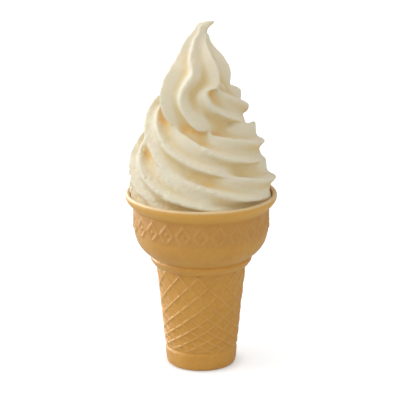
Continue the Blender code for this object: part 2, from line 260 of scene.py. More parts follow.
# Name, where it comes from, strength, degrees across, and colour.
LIGHTS = (
    ("key_left", (-0.85, 0.15, 0.50), 1.30, 80, WHITE),
    ("top_front", (-0.35, -0.38, 0.86), 0.70, 70, WHITE),
    ("warm_right", (0.85, -0.50, 0.10), 0.55, 90, (1.0, 0.85, 0.58)),
)
GLOSS_LIGHT = ("gloss_left", (-0.80, 0.58, 0.05), 9.0, 75, WHITE)

CAMERA_AWAY = 0.8
CAMERA_ABOVE = math.radians(15.9)
CAMERA_AIM = 0.5054
CAMERA_LENS = 181.0
CAMERA_SHIFT = (-0.0005, -0.0212)


# ---------------------------------------------------------------- numpy helpers
def share(value, start, end):
    """How far a value has come from start to end, kept between 0 and 1."""
    return np.clip((value - start) / (end - start), 0, 1)


def eased(value, start, end):
    """The same share with a smoothed step at both ends: three squares less two cubes."""
    part = share(value, start, end)
    return part * part * (3 - 2 * part)


def noise(points, cell, seed):
    """Smooth noise from -1 to 1: random values on a cubic lattice of one cell size, blended between
    the eight corners round each point by a smoothed step along each axis."""
    scaled = points / cell
    base = np.floor(scaled)
    part = scaled - base
    part = part * part * (3 - 2 * part)
    base = base.astype(np.int64)
    total = np.zeros(len(points))
    for corner in np.ndindex(2, 2, 2):
        value = ((base + corner) * (73856093, 19349663, 83492791)).sum(axis=1) + seed * 7919
        value = (value ^ (value >> 13)) * 1274126177
        value = (value ^ (value >> 16)) & 65535
        weight = np.prod(np.where(corner, part, 1 - part), axis=1)
        total += weight * (value / 32767.5 - 1)
    return total


def layered(points, layers):
    """The sum of several noises, each given as its cell, seed and depth."""
    return sum(noise(points, cell, seed) * depth for cell, seed, depth in layers)


def new_piece(name, points, faces):
    """A mesh object at the origin from an array of points and a list of faces."""
    mesh = bpy.data.meshes.new(name)
    mesh.from_pydata(points.tolist(), [], faces)
    mesh.update()
    obj = bpy.data.objects.new(name, mesh)
    bpy.context.scene.collection.objects.link(obj)
    return obj


def grid_faces(rows, columns):
    """Four-sided faces over a grid that closes round on itself along its columns."""
    index = np.arange(rows * columns).reshape(rows, columns)
    near, far = index[:-1], index[1:]
    faces = np.stack([near, np.roll(near, -1, 1), np.roll(far, -1, 1), far], axis=-1)
    return faces.reshape(-1, 4).tolist()


def point_outwards(obj):
    """Turns every face of a closed mesh to look outwards, and shades it smooth."""
    shell = bmesh.new()
    shell.from_mesh(obj.data)
    bmesh.ops.recalc_face_normals(shell, faces=shell.faces)
    shell.to_mesh(obj.data)
    shell.free()
    obj.data.shade_smooth()


def keep_values(obj, name, values):
    """One number for each vertex, which the materials read by name."""
    layer = obj.data.attributes.new(name, "FLOAT", "POINT")
    layer.data.foreach_set("value", np.asarray(values, np.float32))


# ---------------------------------------------------------------- the wafer cup
def stem_radius(height):
    """The stem widens evenly from the foot to the collar."""
    part = share(height, FOOT_TOP, STEM_TOP)
    return STEM_RADIUS_LOW + (STEM_RADIUS_HIGH - STEM_RADIUS_LOW) * part


def shoulder(inset, lift, points):
    """An elliptic arc from the band, straight below its edge, in and down to the collar."""
    last = math.sqrt(1 - (1 - (BAND_RADIUS - COLLAR_RADIUS_HIGH) / SHOULDER_REACH) ** 2)
    down = np.linspace(0, last, points)
    radius = BAND_RADIUS - inset - SHOULDER_REACH * (1 - np.sqrt(1 - down * down))
    return np.stack([radius, SHOULDER_CENTRE + lift - SHOULDER_RISE * down], axis=1)


def lip(inset, points):
    """The flared lip, a quarter of a sine wave, from the rim down to the band."""
    up = np.linspace(1, 0, points)
    radius = BAND_RADIUS - inset + (RIM_RADIUS - BAND_RADIUS) * np.sin(math.pi / 2 * up)
    return np.stack([radius, LIP_BOTTOM + LIP_RISE * up], axis=1)


def inside_of_cup(inset, points):
    """The inner face as radius and height, from the floor's edge up the wall to the lip."""
    foot = (FOOT_RADIUS - inset, FLOOR + inset - WALL)
    stem = np.linspace(foot, (STEM_RADIUS_HIGH - inset, STEM_TOP), points)
    arc = shoulder(inset, inset - WALL + SHOULDER_LIFTED_INSIDE, points)[::-1]
    return np.concatenate([stem, arc, lip(inset, points // 2)[::-1]])


def rounded(corners, step):
    """A line through the corners in equal steps, its corners eased by a running mean of three."""
    corners = np.array(corners)
    length = np.linalg.norm(np.diff(corners, axis=0), axis=1)
    along = np.concatenate([[0], np.cumsum(length)])
    at = np.linspace(0, along[-1], max(2, round(along[-1] / step)) + 1)
    line = np.stack([np.interp(at, along, column) for column in corners.T], axis=1)
    line[1:-1] = (line[:-2] + 2 * line[1:-1] + line[2:]) / 4
    return line


def cup_profile():
    """The whole wall as radius and height, and the first row of its outer face. It goes up the
    inside, over the rolled rim and down the outside, and the edges of the collar and the foot are
    rounded through points that lie a fraction of a millimetre from the named sizes."""
    half = WALL / 2
    over = np.radians(np.linspace(165, 15, RIM_ROWS))
    rim_x = RIM_RADIUS - half + half * np.cos(over)
    rim = np.stack([rim_x, RIM_TOP - half + half * np.sin(over)], axis=1)
    band = np.linspace((BAND_RADIUS, LIP_BOTTOM), (BAND_RADIUS, SHOULDER_CENTRE), BAND_ROWS)[1:-1]
    collar = rounded(
        [
            (COLLAR_RADIUS_HIGH - 0.0005, COLLAR_TOP + 0.0002),
            (COLLAR_RADIUS_HIGH - 0.0004, COLLAR_TOP - 0.0001),
            (COLLAR_RADIUS_HIGH, COLLAR_TOP - 0.0006),
            (COLLAR_RADIUS_HIGH - 0.0001, COLLAR_TOP - 0.0016),
            (COLLAR_RADIUS_LOW + 0.0002, STEM_TOP + 0.0010),
            (COLLAR_RADIUS_LOW - 0.0003, STEM_TOP + 0.0003),
            (COLLAR_RADIUS_LOW - 0.0009, STEM_TOP),
            (STEM_RADIUS_HIGH, STEM_TOP - 0.0002),
        ],
        0.00025,
    )
    heights = np.linspace(STEM_TOP - 0.0005, FOOT_TOP + 0.0005, STEM_ROWS)
    stem = np.stack([stem_radius(heights), heights], axis=1)
    edge = FOOT_RADIUS - FOOT_REST_RADIUS
    foot = rounded(
        [
            (STEM_RADIUS_LOW, FOOT_TOP + 0.0002),
            (FOOT_TOP_RADIUS, FOOT_TOP - 0.0003),
            (FOOT_TOP_RADIUS + 0.0001, FOOT_TOP - 0.0009),
            (FOOT_RADIUS, 0.0024),
            (FOOT_RADIUS - 0.29 * edge, 0.0008),
            (FOOT_RADIUS - 0.60 * edge, 0.0002),
            (FOOT_REST_RADIUS - 0.0003, 0),
        ],
        0.0005,
    )
    arc = shoulder(0, 0, SHOULDER_ROWS)
    outside = np.concatenate([lip(0, LIP_ROWS), band, arc, collar, stem, foot])
    inside = inside_of_cup(WALL, INSIDE_ROWS)
    return np.concatenate([inside, rim, outside]), len(inside) + len(rim)


def lattice(angle, height, radius):
    """Low rounded ridges in two crossing families. Ridges run straight where height is counted in
    rows that shrink by the same share towards the apex, and each rises as a bell over the distance
    from its middle."""
    sector = 2 * math.pi / LATTICE_STARTS
    above = np.clip(height - LATTICE_APEX, 0.001, None)
    row = -np.log(above / (LATTICE_FIRST - LATTICE_APEX)) / LATTICE_SHRINK
    lean = radius * sector / 2 / (LATTICE_SHRINK * above)
    crest = np.zeros_like(angle)
    for side in (-1, 1):
        apart = angle - LATTICE_TURN - side * sector / 2 * row
        apart = (apart / sector - np.round(apart / sector)) * sector * radius
        apart = apart / np.sqrt(1 + lean * lean)
        crest = np.maximum(crest, np.exp(-((apart / RIDGE_HALF_WIDTH) ** 2)))
    return crest


def lozenges(angle, height):
    """A chain of plain lozenges round the band: a raised line where the sum of the shares across
    and up is close to one, and a small raised stud where it is close to nothing."""
    sector = 2 * math.pi / LOZENGES
    across = np.abs(angle / sector - np.round(angle / sector)) * 2
    up = np.abs(height - LOZENGE_MIDDLE) / LOZENGE_HALF_HEIGHT
    away = across + up
    line = np.exp(-(((away - (1 - LOZENGE_LINE / 2)) / (LOZENGE_LINE / 2)) ** 2))
    return np.maximum(line, eased(-away, -LOZENGE_STUD, -LOZENGE_STUD / 3))


def make_cup():
    """The profile turned about Z, with the relief of its outer face worked out from angle and
    height, and that face sunk a little unevenly. The zones that take a colour of their own, and
    those that take a painted highlight or painted light, are kept on the vertices."""
    profile, first_outside = cup_profile()
    rows = len(profile)
    angle = np.linspace(0, 2 * math.pi, CUP_COLUMNS, endpoint=False)
    turn, radius = np.meshgrid(angle, profile[:, 0])
    height = np.repeat(profile[:, 1], CUP_COLUMNS).reshape(rows, CUP_COLUMNS)
    outside = (np.arange(rows) >= first_outside)[:, None]
    on_stem = outside * eased(height - FOOT_TOP, *LATTICE_FADES_ABOVE_FOOT)
    on_stem = on_stem * eased(STEM_TOP - height, *LATTICE_FADES_BELOW_TOP)
    ridges = lattice(turn, height, radius) * on_stem
    raised = lozenges(turn, height) * outside * (height > LOZENGES_FROM)
    flat = np.stack([np.cos(turn), np.sin(turn), height / WANDER_HEIGHT], axis=-1).reshape(-1, 3)
    wander = layered(flat, WANDER).reshape(rows, CUP_COLUMNS)
    below_rim = eased(RIM_TOP - height, *WANDER_ENDS_BELOW_RIM)
    wander = np.where(outside, -np.abs(wander) * below_rim, 0)
    strength = 1 + RIDGE_UNEVEN * noise(flat, 0.30, 5).reshape(rows, CUP_COLUMNS)
    reach = radius + RIDGE_HEIGHT * ridges * strength + LOZENGE_RISE * raised + wander
    points = np.stack([reach * np.cos(turn), reach * np.sin(turn), height], axis=-1).reshape(-1, 3)
    ends = np.array([(0, 0, profile[0, 1]), (0, 0, 0)])
    ring = np.arange(CUP_COLUMNS)
    onward = np.roll(ring, -1)
    last = (rows - 1) * CUP_COLUMNS
    middle = np.full_like(ring, rows * CUP_COLUMNS)
    faces = grid_faces(rows, CUP_COLUMNS)
    faces += np.stack([middle, onward, ring], axis=1).tolist()
    faces += np.stack([middle + 1, last + ring, last + onward], axis=1).tolist()
    cup = new_piece("baked_wafer_cup", np.concatenate([points, ends]), faces)
    point_outwards(cup)
    # Painted light: rim marks a painted highlight along the rim, and flare painted light on the
    # flared lip under it.
    rim = 1 - eased(RIM_TOP - height, *RIM_HIGHLIGHT_BELOW_TOP)
    flare = outside * eased(height - LIP_BOTTOM, *FLARE_ABOVE_BAND) * (1 - rim)
    band = outside * eased(height, SHOULDER_CENTRE - BAND_FADES_BELOW, SHOULDER_CENTRE)
    band = band * (height < LIP_BOTTOM)
    # raised marks the painted highlight on the ridges and lozenges; band is the band's own browner
    # colour.
    zones = {"raised": np.maximum(ridges, raised), "rim": rim, "flare": flare, "band": band}
    for name, values in zones.items():
        keep_values(cup, name, np.append(values.ravel(), (0, 0)))
    return cup


# ---------------------------------------------------------------- the ice cream
def waves(turn, sizes):
    """Cosines and sines of once, twice and more times a turn, summed so that whole turns give 0."""
    total = 0 * turn
    for i in range(0, len(sizes), 2):
        angle = math.pi * (i + 2) * turn
        total = total + sizes[i] * (np.cos(angle) - 1) + sizes[i + 1] * np.sin(angle)
    return total


def coil_centre(turn):
    """The rope's centre in the coil: it closes in as a power of the turns while it climbs."""
    closing = np.clip((turn - COIL_WIDEST_TURN) / COIL_CLOSING_TURNS, 0, None)
    radius = COIL_RADIUS * (1 - closing**COIL_CLOSING_POWER)
    radius = radius - COIL_LOW_NARROWING * np.clip(COIL_WIDEST_TURN - turn, 0, None)
    low = np.clip(COIL_LOW_TURN - turn, 0, None)
    height = COIL_HEIGHT_AT_TURN_1 + COIL_PITCH * (turn - 1) + (COIL_PITCH - COIL_LOW_PITCH) * low
    height = height + waves(turn, HEIGHT_WAVES)
    height = height + LAST_CLIMB * share(turn, *LAST_CLIMB_TURNS) ** 2
    heading = -2 * math.pi * turn
    flattened = np.where(np.sin(heading) > 0, COIL_BACK_FLATTENED, 1)
    across = COIL_CENTRE[0] + radius * np.cos(heading)
    away = COIL_CENTRE[1] + radius * np.sin(heading) * flattened
    return np.stack([across, away, height], axis=1), heading


def tip_radius(turn):
    """The star's radius: larger at the front and right, and swelling towards the peak."""
    once = 2 * math.pi * turn
    swell = ROPE_SWELL * share(turn, *ROPE_SWELLS) ** 1.5
    front = np.sin(once) * np.where(np.sin(once) > 0, 1, ROPE_BACK_UNEVEN)
    return (ROPE_TIP_RADIUS + swell) * (1 + ROPE_UNEVEN[0] * np.cos(once) + ROPE_UNEVEN[1] * front)


def ridge_angle(turn):
    """The first ridge's angle from the outward side: one turn for each turn of the coil, ahead or
    behind by waves, and a little further ahead at the left of the last full turn."""
    fade = eased(turn, *LAST_TWIST_FADES_IN)
    last = LAST_TWIST[0] + LAST_TWIST[1] * (turn - 3)
    ahead = waves(turn, TWIST_WAVES) * (1 - fade) + last * fade
    ahead = ahead + LEFT_LEAD[0] * np.exp(-(((turn - LEFT_LEAD[1]) / LEFT_LEAD[2]) ** 2))
    return np.radians(RIDGE_AT_RIGHT + 360 * turn + ahead)


def smooth_curve(points, parts):
    """A Catmull-Rom curve through the rows of points, with each stretch cut into equal parts."""
    ends = (2 * points[:1] - points[1:2], points, 2 * points[-1:] - points[-2:-1])
    rows = np.concatenate(ends)
    u = (np.arange(parts) / parts)[None, :, None]
    before, start, end, after = (rows[i : len(rows) - 3 + i, None, :] for i in range(4))
    curve = 2 * start + (end - before) * u
    curve = curve + (2 * before - 5 * start + 4 * end - after) * u**2
    curve = curve + (3 * start - before - 3 * end + after) * u**3
    return np.concatenate([curve.reshape(-1, points.shape[1]) / 2, points[-1:]])


def rope_course():
    """Rows of x, y, z, tip radius, heading and ridge angle, evenly spaced along the rope."""
    steps = round((COIL_END - COIL_START) * COIL_POINTS_A_TURN)
    turn = np.linspace(COIL_START, COIL_END, steps + 1)
    centre, heading = coil_centre(turn)
    columns = (tip_radius(turn), heading, ridge_angle(turn))
    coil = np.concatenate([centre, np.stack(columns, axis=1)], axis=1)
    reached = np.clip((np.arange(len(PEAK)) + 1) / BEND_POINTS, 0, 1)
    facing = heading[-1] + (FRONT - heading[-1]) * reached
    spacing = 2 * math.pi / ROPE_RIDGES
    peak = np.array(PEAK)
    ridge = 6 * math.pi + np.radians(peak[:, 4]) - (facing - FRONT)
    ridge = ridge - np.round((ridge[0] - coil[-1, 5]) / spacing) * spacing
    peak = np.concatenate([peak[:, :4], np.stack([facing, ridge], axis=1)], axis=1)
    fine = smooth_curve(np.concatenate([coil, peak]), CURVE_PARTS)
    stretch = np.linalg.norm(np.diff(fine[:, :3], axis=0), axis=1)
    along = np.concatenate([[0], np.cumsum(stretch)])
    even = np.append(np.arange(0, along[-1], CURVE_STEP), along[-1])
    return np.stack([np.interp(even, along, column) for column in fine.T], axis=1)


def rope_surface(around):
    """A star carried along the course. The star's radius falls from crest to valley as a softened
    sine, and each crest wanders a little along its length."""
    course = rope_course()
    tangent = np.gradient(course[:, :3], axis=0)
    window = np.hanning(BEND_SMOOTHING + 2)[1:-1]
    padded = np.pad(tangent, ((BEND_SMOOTHING // 2, BEND_SMOOTHING // 2), (0, 0)), mode="edge")
    tangent = np.stack([np.convolve(column, window, "valid") for column in padded.T], axis=1)
    tangent = tangent / np.linalg.norm(tangent, axis=1)[:, None]
    heading = course[:, 4]
    outward = np.stack([np.cos(heading), np.sin(heading), 0 * heading], axis=1)
    outward = outward - tangent * np.sum(outward * tangent, axis=1)[:, None]
    outward = outward / np.linalg.norm(outward, axis=1)[:, None]
    upward = np.cross(tangent, outward)
    star = np.linspace(0, 2 * math.pi, around, endpoint=False)
    wave = np.sqrt(np.sin(star * ROPE_RIDGES / 2) ** 2 + CREST_SOFTNESS**2)
    wave = (wave - CREST_SOFTNESS) / (math.sqrt(1 + CREST_SOFTNESS**2) - CREST_SOFTNESS)
    shape = 1 - (1 - ROPE_VALLEY) * wave
    angle = star[None, :] + course[:, 5:6]
    reach = course[:, 3:4] * shape[None, :]
    in_coil = 1 - share(course[:, 2:3], *SAG_FADES)
    sag = ROPE_SAG * np.clip(-np.sin(angle), 0, None) + ROPE_RISE * np.clip(np.sin(angle), 0, None)
    across = outward[:, None, :] * (reach * np.cos(angle))[..., None]
    rise = upward[:, None, :] * (reach * (1 + sag * in_coil) * np.sin(angle))[..., None]
    return course[:, None, :3] + across + rise


def turned(profile, steps, centre=(0, 0)):
    """The points and faces of a profile turned about an upright line, closed at both ends."""
    profile = np.array(profile)
    angle = np.linspace(0, 2 * math.pi, steps, endpoint=False)
    x = centre[0] + np.outer(profile[:, 0], np.cos(angle))
    y = centre[1] + np.outer(profile[:, 0], np.sin(angle))
    z = np.outer(profile[:, 1], np.ones(steps))
    points = np.stack([x, y, z], axis=-1)
    return points.reshape(-1, 3), capped(len(profile), steps)


def capped(rows, columns):
    """The faces of a grid that closes round on itself, with one face over each end."""
    faces = grid_faces(rows, columns)
    faces.append(np.arange(columns)[::-1].tolist())
    faces.append(((rows - 1) * columns + np.arange(columns)).tolist())
    return faces


def cream_pieces():
    """The rope, the round core inside its coil, and what fills the cup, as three closed skins."""
    grid = rope_surface(ROPE_RIDGES * ROPE_POINTS_A_RIDGE)
    rope = (grid.reshape(-1, 3), capped(*grid.shape[:2]))
    turn = np.linspace(CORE_FROM_TURN, COIL_END, CORE_ROWS)
    centre, _ = coil_centre(turn)
    radius = np.hypot(centre[:, 0] - COIL_CENTRE[0], centre[:, 1] - COIL_CENTRE[1])
    height = COIL_HEIGHT_AT_TURN_1 + COIL_PITCH * (turn - 1)
    sides = np.stack([radius + CORE_PAST_ROPE, height], axis=1)
    foot = [(CENTRE_HOLE, CORE_BOTTOM), (sides[0, 0], CORE_BOTTOM)]
    outline = np.concatenate([foot, sides, [(CENTRE_HOLE, CORE_TOP)]])
    core = turned(outline, TURNED_COLUMNS, COIL_CENTRE)
    wall = inside_of_cup(WALL + GAP, FILL_ROWS)
    wall = wall[wall[:, 1] < RIM_TOP - FILL_BELOW_RIM]
    outline = np.concatenate([[(CENTRE_HOLE, wall[0, 1])], wall, [(CENTRE_HOLE, wall[-1, 1])]])
    return rope, core, turned(outline, TURNED_COLUMNS)


def vertex_rows(mesh, kind="co"):
    """The vertices' places, or their normals, as rows of three numbers."""
    values = np.empty(len(mesh.vertices) * 3)
    mesh.vertices.foreach_get(kind, values)
    return values.reshape(-1, 3)


def move_vertices(mesh, points):
    """Puts the mesh's vertices at these rows of x, y and z."""
    mesh.vertices.foreach_set("co", points.ravel())
    mesh.update()


def remeshed(obj, voxel):
    """The object's mesh made again as one skin of small even squares."""
    skin = obj.modifiers.new("skin", "REMESH")
    skin.mode = "VOXEL"
    skin.voxel_size = voxel
    graph = bpy.context.evaluated_depsgraph_get()
    mesh = bpy.data.meshes.new_from_object(obj.evaluated_get(graph))
    obj.modifiers.clear()
    obj.data = mesh
    return mesh


def one_skin(name, pieces, voxel):
    """One closed skin over pieces that run into each other. It is moved out along its normals and
    in again by the same amount, which fills any slot narrower than twice that, and its vertices are
    eased before each move."""
    points, faces, count = [], [], 0
    for piece_points, piece_faces in pieces:
        points.append(piece_points)
        faces += [[count + i for i in face] for face in piece_faces]
        count += len(piece_points)
    obj = new_piece(name, np.concatenate(points), faces)
    point_outwards(obj)
    mesh = remeshed(obj, voxel)
    for move in (SLOT_FILLED, -SLOT_FILLED):
        move_vertices(mesh, relaxed(vertex_rows(mesh), *neighbours_of(mesh), 3, 0.5))
        move_vertices(mesh, vertex_rows(mesh) + move * vertex_rows(mesh, "normal"))
        mesh = remeshed(obj, voxel)
    return obj


def neighbours_of(mesh):
    """The two ends of each edge, and how many edges meet at each vertex."""
    ends = np.empty(len(mesh.edges) * 2, np.int32)
    mesh.edges.foreach_get("vertices", ends)
    ends = ends.reshape(-1, 2)
    return ends, np.bincount(ends.ravel(), minlength=len(mesh.vertices))


def relaxed(points, ends, count, times, part=1.0):
    """Each point moved to the mean of its neighbours, again and again."""
    size = len(points)
    for _ in range(times):
        mean = np.empty_like(points)
        for axis in range(points.shape[1]):
            values = points[:, axis]
            mean[:, axis] = np.bincount(ends[:, 0], values[ends[:, 1]], size)
            mean[:, axis] += np.bincount(ends[:, 1], values[ends[:, 0]], size)
        points = points + part * (mean / count[:, None] - points)
    return points


def room_in_cup(height):
    """The largest radius the ice cream may have at a height, which ends just over the rim."""
    wall = inside_of_cup(WALL + GAP, ROOM_ROWS)
    radius = np.interp(height, wall[:, 1], wall[:, 0])
    lip_radius = RIM_RADIUS - WALL - GAP
    radius = np.where(height > LIP_BOTTOM + LIP_RISE, lip_radius, radius)
    return radius + FREE_ROOM * share(height - RIM_TOP, *FREE_ABOVE_RIM)


def thinned(obj, most):
    """Merges the flattest facets of an object until it has at most this many triangles."""
    triangles = 2 * len(obj.data.polygons)
    if triangles > most:
        fewer = obj.modifiers.new("fewer_facets", "DECIMATE")
        fewer.ratio = most / triangles
        graph = bpy.context.evaluated_depsgraph_get()
        obj.data = bpy.data.meshes.new_from_object(obj.evaluated_get(graph))
        obj.modifiers.clear()


def make_cream():
    """The skin over the pieces, eased and made a little fuller just over the rim. How far it lies
    below a relaxed copy gives its folds, and how far it stands out gives its crests. Ripples,
    crumbs and tears are laid along its normals, thin spikes are taken back to the relaxed copy, and
    what would touch the cup's wall is drawn in."""
    swirl = one_skin("soft_serve_swirl", cream_pieces(), CREAM_VOXEL)
    mesh = swirl.data
    ends, count = neighbours_of(mesh)
    points = relaxed(vertex_rows(mesh), ends, count, 2, 0.5)
    bulge = eased(points[:, 2], *LOW_FULLNESS_FROM) * (1 - eased(points[:, 2], *LOW_FULLNESS_TO))
    points[:, :2] *= 1 + LOW_FULLNESS * bulge[:, None]
    move_vertices(mesh, points)
    normals = vertex_rows(mesh, "normal")
    fine = relaxed(points, ends, count, FINE_EASINGS)
    wide = relaxed(fine, ends, count, WIDE_EASINGS)
    near = np.sum((fine - points) * normals, axis=1)
    far = np.sum((wide - points) * normals, axis=1)
    crest = share(-near, *CREST_STANDS_OUT)
    rough = share(points[:, 2], *ROUGH_DOWN) * share(points[:, 0], *ROUGH_LEFTWARD)
    tear = np.clip(noise(points, *TEAR[:2]) - TEAR_OVER, 0, None) * crest
    push = layered(points, RIPPLES) + layered(points, (CRUMB,)) * (CRUMB_EVERYWHERE + rough)
    push = push - TEAR[2] * tear * (TEAR_EVERYWHERE + rough)
    points = points + normals * (push - CRISPER * near)[:, None]
    spike = eased(np.abs(near), *SPIKE)
    points = points + (fine - points) * spike[:, None]
    around = np.hypot(points[:, 0], points[:, 1])
    pull = np.minimum(1, room_in_cup(points[:, 2]) / np.maximum(around, 1e-6))
    points[:, :2] *= pull[:, None]
    points = np.clip(points, np.array(cad_low) + INSIDE_BOX_BY, np.array(cad_high) - INSIDE_BOX_BY)
    move_vertices(mesh, points)
    # Painted shade: golden on faces that look down into the folds and in the hollows, and orange
    # where the folds lie deepest on the left.
    beneath = eased(-normals[:, 2], *GOLDEN_FACING) * share(far, *GOLDEN_UNDER_DEPTH)
    hollow = eased(far, *GOLDEN_HOLLOW_DEPTH)
    golden = np.clip(GOLDEN_UNDER * beneath + GOLDEN_HOLLOW * hollow, 0, 1)
    golden = golden * (1 - GOLDEN_PATCHES[2] + layered(points, (GOLDEN_PATCHES,)))
    orange = eased(far, *ORANGE_DEPTH) * eased(-points[:, 0], *ORANGE_LEFTWARD)
    # crest also carries the painted highlight that makes the crests paler.
    shares = {"golden": golden, "orange": orange, "crest": crest, "rough": rough}
    for name, values in shares.items():
        keep_values(swirl, name, values)
    thinned(swirl, MOST_TRIANGLES)
    swirl.data.shade_smooth()
    return swirl


# ---------------------------------------------------------------- materials
def group(name, inputs, outputs):
    """A new shader node group. Inputs and outputs are (name, kind, default) and (name, kind)."""
    tree = bpy.data.node_groups.new(name, "ShaderNodeTree")
    for label, kind, value in inputs:
        socket = tree.interface.new_socket(label, in_out="INPUT", socket_type=kind)
        socket.default_value = value
    for label, kind in outputs:
        tree.interface.new_socket(label, in_out="OUTPUT", socket_type=kind)
    return tree, tree.nodes.new("NodeGroupInput"), tree.nodes.new("NodeGroupOutput")


def math_node(tree, operation, first, second):
    """A Math node whose two values are numbers or other nodes' outputs."""
    node = tree.nodes.new("ShaderNodeMath")
    node.operation = operation
    for socket, value in zip(node.inputs, (first, second)):
        if isinstance(value, (int, float)):
            socket.default_value = value
        else:
            tree.links.new(value, socket)
    return node.outputs[0]


def spread(tree, value, low, high, to_low=0.0, to_high=1.0, smooth=False):
    """Map Range from low..high onto to_low..to_high, clamped."""
    node = tree.nodes.new("ShaderNodeMapRange")
    node.interpolation_type = "SMOOTHSTEP" if smooth else "LINEAR"
    tree.links.new(value, node.inputs["Value"])
    node.inputs["From Min"].default_value = low
    node.inputs["From Max"].default_value = high
    node.inputs["To Min"].default_value = to_low
    node.inputs["To Max"].default_value = to_high
    return node.outputs["Result"]


def mixed(tree, factor, first, second):
    """A mix of two colours by another node's output. Colours are (r, g, b) or nodes' outputs."""
    node = tree.nodes.new("ShaderNodeMix")
    node.data_type = "RGBA"
    tree.links.new(factor, node.inputs[0])
    for socket, value in ((node.inputs[6], first), (node.inputs[7], second)):
        if isinstance(value, tuple):
            socket.default_value = (*value, 1)
        else:
            tree.links.new(value, socket)
    return node.outputs[2]


def tinted(tree, colour, tints):
    """The colour mixed with each tint in turn, by the value kept under its name times its part."""
    for name, part, tint in tints:
        colour = mixed(tree, math_node(tree, "MULTIPLY", kept(tree, name), part), colour, tint)
    return colour


def pattern(tree, kind, scale, detail=None):
    """A noise or cell texture on object coordinates, its scale another node's output."""
    node = tree.nodes.new("ShaderNodeTex" + kind)
    if detail is not None:
        node.inputs["Detail"].default_value = detail
    tree.links.new(scale, node.inputs["Scale"])
    place = tree.nodes.new("ShaderNodeTexCoord").outputs["Object"]
    tree.links.new(place, node.inputs["Vector"])
    return node.outputs[0]


def weighed(tree, first, part, second, rest):
    """One output times its part, and another times the rest, added up."""
    first = math_node(tree, "MULTIPLY", first, part)
    return math_node(tree, "ADD", first, math_node(tree, "MULTIPLY", second, rest))


def make_mottle():
    """Uneven tone at two scales: a broad drift and a finer cloud, as one mask from 0 to 1."""
    tree, given, result = group(
        "uneven_tone",
        [("Broad Scale", "NodeSocketFloat", 60.0), ("Fine Scale", "NodeSocketFloat", 400.0)],
        [("Mask", "NodeSocketFloat")],
    )
    broad = pattern(tree, "Noise", given.outputs["Broad Scale"], 2.0)
    fine = pattern(tree, "Noise", given.outputs["Fine Scale"], 3.0)
    total = weighed(tree, broad, 0.6, fine, 0.4)
    tree.links.new(spread(tree, total, 0.32, 0.68), result.inputs["Mask"])
    return tree


def make_grain():
    """A grainy height and a mask of its pits: soft lumps and finer grain over them, less the small
    round pits, which lie near the centres of cells."""
    tree, given, result = group(
        "grain",
        [
            ("Lump Scale", "NodeSocketFloat", 500.0),
            ("Grain Scale", "NodeSocketFloat", 1500.0),
            ("Pit Scale", "NodeSocketFloat", 900.0),
            ("Pits", "NodeSocketFloat", 0.5),
        ],
        [("Height", "NodeSocketFloat"), ("Pit Mask", "NodeSocketFloat")],
    )
    lump = pattern(tree, "Noise", given.outputs["Lump Scale"], 2.0)
    fine = pattern(tree, "Noise", given.outputs["Grain Scale"], 4.0)
    cell = pattern(tree, "Voronoi", given.outputs["Pit Scale"])
    pit = spread(tree, cell, 0.10, 0.34, 1.0, 0.0, True)
    pit = math_node(tree, "MULTIPLY", pit, given.outputs["Pits"])
    height = weighed(tree, lump, 0.55, fine, 0.45)
    height = math_node(tree, "SUBTRACT", height, math_node(tree, "MULTIPLY", pit, 0.35))
    tree.links.new(height, result.inputs["Height"])
    tree.links.new(pit, result.inputs["Pit Mask"])
    return tree


def use_group(tree, shared, **values):
    """A node that uses a shared group with its own input values."""
    node = tree.nodes.new("ShaderNodeGroup")
    node.node_tree = shared
    for label, value in values.items():
        node.inputs[label.replace("_", " ")].default_value = value
    return node


def kept(tree, name):
    """The number kept on the vertices under this name."""
    node = tree.nodes.new("ShaderNodeAttribute")
    node.attribute_name = name
    return node.outputs["Fac"]


def new_material(name, **values):
    """A material, its nodes and its shader, with these constant values on the shader."""
    result = bpy.data.materials.new(name)
    result.use_nodes = True
    shader = result.node_tree.nodes["Principled BSDF"]
    for label, value in values.items():
        shader.inputs[label.replace("_", " ")].default_value = value
    return result, result.node_tree, shader


def raise_surface(tree, shader, height, strength, distance):
    """Tilts the shading by a height."""
    bump = tree.nodes.new("ShaderNodeBump")
    bump.inputs["Strength"].default_value = strength
    bump.inputs["Distance"].default_value = distance
    tree.links.new(height, bump.inputs["Height"])
    tree.links.new(bump.outputs["Normal"], shader.inputs["Normal"])


def wafer_material(mottle, grain):
    """Baked wafer: warm tan that drifts between two tones, a painted highlight that makes the rim
    palest and all that is raised paler, painted light that makes the flare yellower, browner on the
    band and in its small pits, and dry."""
    result, tree, shader = new_material(
        "baked_wafer",
        Subsurface_Weight=0.12,
        Subsurface_Radius=(0.0016, 0.0009, 0.0004),
        Subsurface_Scale=1.0,
        Sheen_Weight=0.12,
        Sheen_Roughness=0.45,
    )
    tone = use_group(tree, mottle, Broad_Scale=70.0, Fine_Scale=420.0).outputs["Mask"]
    pores = use_group(tree, grain, Lump_Scale=420.0, Grain_Scale=1500.0, Pit_Scale=1050.0, Pits=0.6)
    colour = tinted(tree, mixed(tree, tone, *WAFER_TAN), WAFER_TINTS_AND_PAINTED_LIGHT)
    darker = math_node(tree, "MULTIPLY", pores.outputs["Pit Mask"], 0.36)
    colour = mixed(tree, darker, colour, WAFER_PITS)
    tree.links.new(colour, shader.inputs["Base Color"])
    tree.links.new(spread(tree, tone, 0.0, 1.0, 0.60, 0.48), shader.inputs["Roughness"])
    raise_surface(tree, shader, pores.outputs["Height"], 0.75, 0.00034)
    return result


